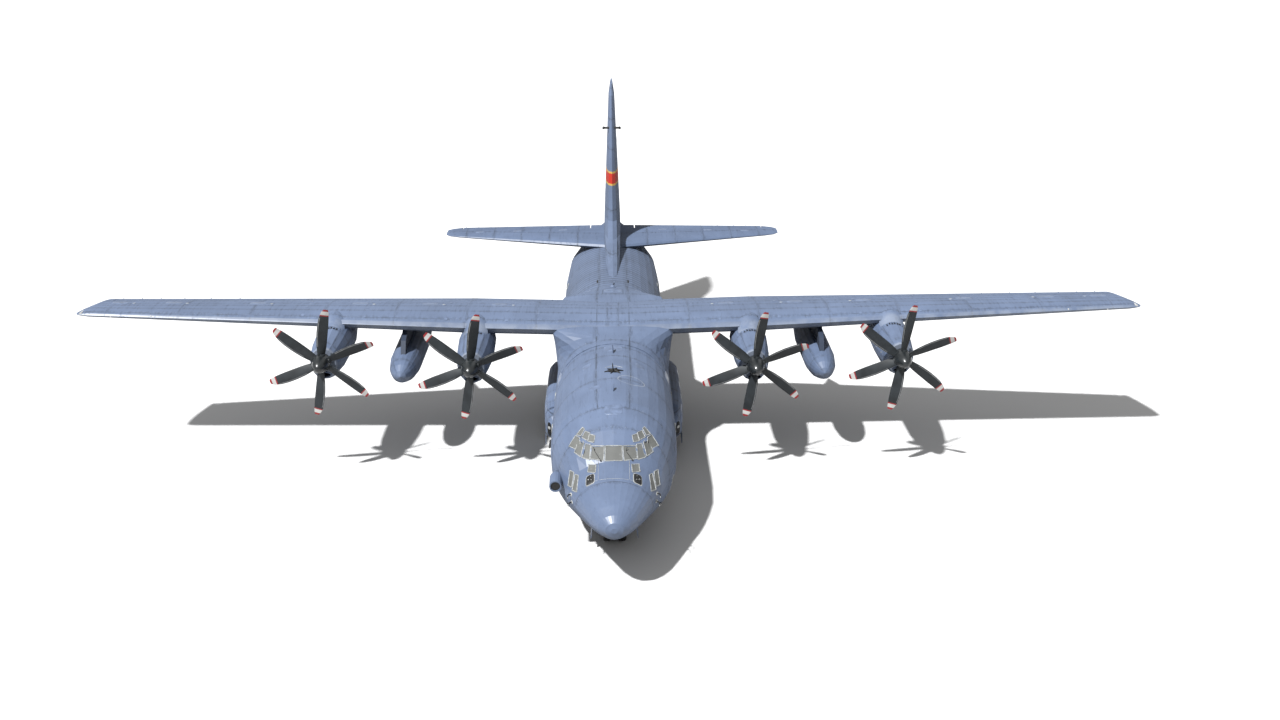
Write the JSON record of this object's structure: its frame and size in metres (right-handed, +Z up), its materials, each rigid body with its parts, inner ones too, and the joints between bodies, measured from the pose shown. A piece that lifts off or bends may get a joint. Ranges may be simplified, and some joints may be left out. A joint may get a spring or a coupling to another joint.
{
  "type": "half-size model of a military transport plane",
  "caption": "High-wing military transport plane at 1:2 scale on its wheels: propeller engines and tanks under the wing, tall fin, hollow hold with rear ramp, doors and control surfaces.",
  "frame": {"origin": "middle of the length and span, on the ground that the wheels stand on", "axes": "+X to the plane's left (port) wing tip, +Y aft, so the nose points to -Y, +Z up"},
  "size_m": [20.205, 14.895, 5.92],
  "materials": {
    "blade_composite": "satin",
    "engine_metal": "matte",
    "floor_metal": "matte",
    "gear_steel": "satin",
    "grey_paint": "satin",
    "light_grey_paint": "satin",
    "radome_paint": "satin",
    "tyre_rubber": "matte",
    "window_glass": "gloss"
  },
  "bodies": {
    "airframe": {"aft_fuselage": "grey_paint", "air_scoop": "grey_paint", "cargo_floor": "floor_metal", "centre_fuselage": "grey_paint", "centre_wing": "grey_paint", "engine_inner_left": "engine_metal", "engine_inner_right": "engine_metal", "engine_outer_left": "engine_metal", "engine_outer_right": "engine_metal", "fin": "grey_paint", "flight_deck": "floor_metal", "flight_deck_glazing": "window_glass", "flight_deck_shell": "grey_paint", "forward_bulkhead": "light_grey_paint", "forward_fuselage": "grey_paint", "fuel_tank_left": "grey_paint", "fuel_tank_right": "grey_paint", "main_gear_leg_left": "gear_steel", "main_gear_leg_right": "gear_steel", "nacelle_inner_left": "grey_paint", "nacelle_inner_right": "grey_paint", "nacelle_outer_left": "grey_paint", "nacelle_outer_right": "grey_paint", "nose_gear_leg": "gear_steel", "outer_wing_left": "grey_paint", "outer_wing_right": "grey_paint", "paratroop_door_left": "light_grey_paint", "paratroop_door_right": "light_grey_paint", "radome": "radome_paint", "sponson_left": "grey_paint", "sponson_right": "grey_paint", "tail_cone": "grey_paint", "tailplane": "grey_paint", "tank_pylon_left": "grey_paint", "tank_pylon_right": "grey_paint", "wing_fairing": "grey_paint"},
    "aft_cargo_door": {"aft_cargo_door": "grey_paint"},
    "aileron_left": {"aileron_left": "grey_paint"},
    "aileron_right": {"aileron_right": "grey_paint"},
    "cargo_ramp": {"cargo_ramp": "floor_metal"},
    "crew_door": {"crew_door": "grey_paint"},
    "elevator_left": {"elevator_left": "grey_paint"},
    "elevator_right": {"elevator_right": "grey_paint"},
    "inner_flap_left": {"inner_flap_left": "grey_paint"},
    "inner_flap_right": {"inner_flap_right": "grey_paint"},
    "main_wheel_left_front": {"main_wheel_left_front": "tyre_rubber"},
    "main_wheel_left_rear": {"main_wheel_left_rear": "tyre_rubber"},
    "main_wheel_right_front": {"main_wheel_right_front": "tyre_rubber"},
    "main_wheel_right_rear": {"main_wheel_right_rear": "tyre_rubber"},
    "nose_gear_steering": {"nose_gear_steering": "gear_steel"},
    "nose_wheels": {"nose_wheels": "tyre_rubber"},
    "outer_flap_left": {"outer_flap_left": "grey_paint"},
    "outer_flap_right": {"outer_flap_right": "grey_paint"},
    "propeller_inner_left": {"propeller_inner_left": "blade_composite"},
    "propeller_inner_right": {"propeller_inner_right": "blade_composite"},
    "propeller_outer_left": {"propeller_outer_left": "blade_composite"},
    "propeller_outer_right": {"propeller_outer_right": "blade_composite"},
    "rudder": {"rudder": "grey_paint"}
  },
  "joints": [
    {"name": "propeller_outer_left_spin", "type": "hinge", "parent": "airframe", "child": "propeller_outer_left", "pos_m": [5.31, -2.9725, 2.28], "axis": [0, 1, 0], "continuous": true},
    {"name": "propeller_inner_left_spin", "type": "hinge", "parent": "airframe", "child": "propeller_inner_left", "pos_m": [2.61, -2.9725, 2.17], "axis": [0, 1, 0], "continuous": true},
    {"name": "propeller_inner_right_spin", "type": "hinge", "parent": "airframe", "child": "propeller_inner_right", "pos_m": [-2.61, -2.9725, 2.17], "axis": [0, 1, 0], "continuous": true},
    {"name": "propeller_outer_right_spin", "type": "hinge", "parent": "airframe", "child": "propeller_outer_right", "pos_m": [-5.31, -2.9725, 2.28], "axis": [0, 1, 0], "continuous": true},
    {"name": "nose_steer", "type": "hinge", "parent": "airframe", "child": "nose_gear_steering", "pos_m": [0, -5.5475, 0.4], "axis": [0, 0, 1], "range_deg": [-60, 60]},
    {"name": "nose_wheels_roll", "type": "hinge", "parent": "nose_gear_steering", "child": "nose_wheels", "pos_m": [0, -5.5475, 0.245], "axis": [1, 0, 0], "continuous": true},
    {"name": "main_wheel_left_front_roll", "type": "hinge", "parent": "airframe", "child": "main_wheel_left_front", "pos_m": [1.1075, -1.3375, 0.355], "axis": [1, 0, 0], "continuous": true},
    {"name": "main_wheel_left_rear_roll", "type": "hinge", "parent": "airframe", "child": "main_wheel_left_rear", "pos_m": [1.1075, -0.5675, 0.355], "axis": [1, 0, 0], "continuous": true},
    {"name": "main_wheel_right_front_roll", "type": "hinge", "parent": "airframe", "child": "main_wheel_right_front", "pos_m": [-1.1075, -1.3375, 0.355], "axis": [1, 0, 0], "continuous": true},
    {"name": "main_wheel_right_rear_roll", "type": "hinge", "parent": "airframe", "child": "main_wheel_right_rear", "pos_m": [-1.1075, -0.5675, 0.355], "axis": [1, 0, 0], "continuous": true},
    {"name": "ramp_hinge", "type": "hinge", "parent": "airframe", "child": "cargo_ramp", "pos_m": [0, 1.0775, 0.4765], "axis": [-1, 0, 0], "range_deg": [0, 25]},
    {"name": "aft_door_hinge", "type": "hinge", "parent": "airframe", "child": "aft_cargo_door", "pos_m": [0, 4.4875, 1.5275], "axis": [-1, 0, 0], "range_deg": [0, 30]},
    {"name": "crew_door_hinge", "type": "hinge", "parent": "airframe", "child": "crew_door", "pos_m": [0.70891, -5.3925, 0.55], "axis": [0.3396, 0.9406, 0], "range_deg": [0, 125]},
    {"name": "aileron_left_hinge", "type": "hinge", "parent": "airframe", "child": "aileron_left", "pos_m": [7.8875, -0.70831, 2.70083], "axis": [0.9923, -0.1128, 0.0507], "range_deg": [-15, 25]},
    {"name": "aileron_right_hinge", "type": "hinge", "parent": "airframe", "child": "aileron_right", "pos_m": [-7.8875, -0.70831, 2.70083], "axis": [0.9923, 0.1128, -0.0507], "range_deg": [-15, 25]},
    {"name": "elevator_left_hinge", "type": "hinge", "parent": "airframe", "child": "elevator_left", "pos_m": [2.1, 5.56504, 2.44811], "axis": [0.9985, 0.0553, -0.0044], "range_deg": [-15, 40]},
    {"name": "elevator_right_hinge", "type": "hinge", "parent": "airframe", "child": "elevator_right", "pos_m": [-2.1, 5.56504, 2.44811], "axis": [0.9985, -0.0553, 0.0044], "range_deg": [-15, 40]},
    {"name": "rudder_hinge", "type": "hinge", "parent": "airframe", "child": "rudder", "pos_m": [0, 6.2275, 4.125], "axis": [0, 0, 1], "range_deg": [-35, 35]},
    {"name": "inner_flap_left_hinge", "type": "hinge", "parent": "airframe", "child": "inner_flap_left", "pos_m": [1.9975, -0.0804, 2.03943], "axis": [-1, 0, 0], "range_deg": [0, 36]},
    {"name": "outer_flap_left_hinge", "type": "hinge", "parent": "airframe", "child": "outer_flap_left", "pos_m": [4.415, -0.26379, 2.14712], "axis": [-1, 0, 0], "range_deg": [0, 36]},
    {"name": "inner_flap_right_hinge", "type": "hinge", "parent": "airframe", "child": "inner_flap_right", "pos_m": [-1.9975, -0.0804, 2.03943], "axis": [-1, 0, 0], "range_deg": [0, 36]},
    {"name": "outer_flap_right_hinge", "type": "hinge", "parent": "airframe", "child": "outer_flap_right", "pos_m": [-4.415, -0.26379, 2.14712], "axis": [-1, 0, 0], "range_deg": [0, 36]}
  ],
  "couplings": [
    {"joint": "outer_flap_left_hinge", "follows": "inner_flap_left_hinge", "ratio": 1},
    {"joint": "inner_flap_right_hinge", "follows": "inner_flap_left_hinge", "ratio": 1},
    {"joint": "outer_flap_right_hinge", "follows": "inner_flap_left_hinge", "ratio": 1},
    {"joint": "elevator_right_hinge", "follows": "elevator_left_hinge", "ratio": 1}
  ]
}
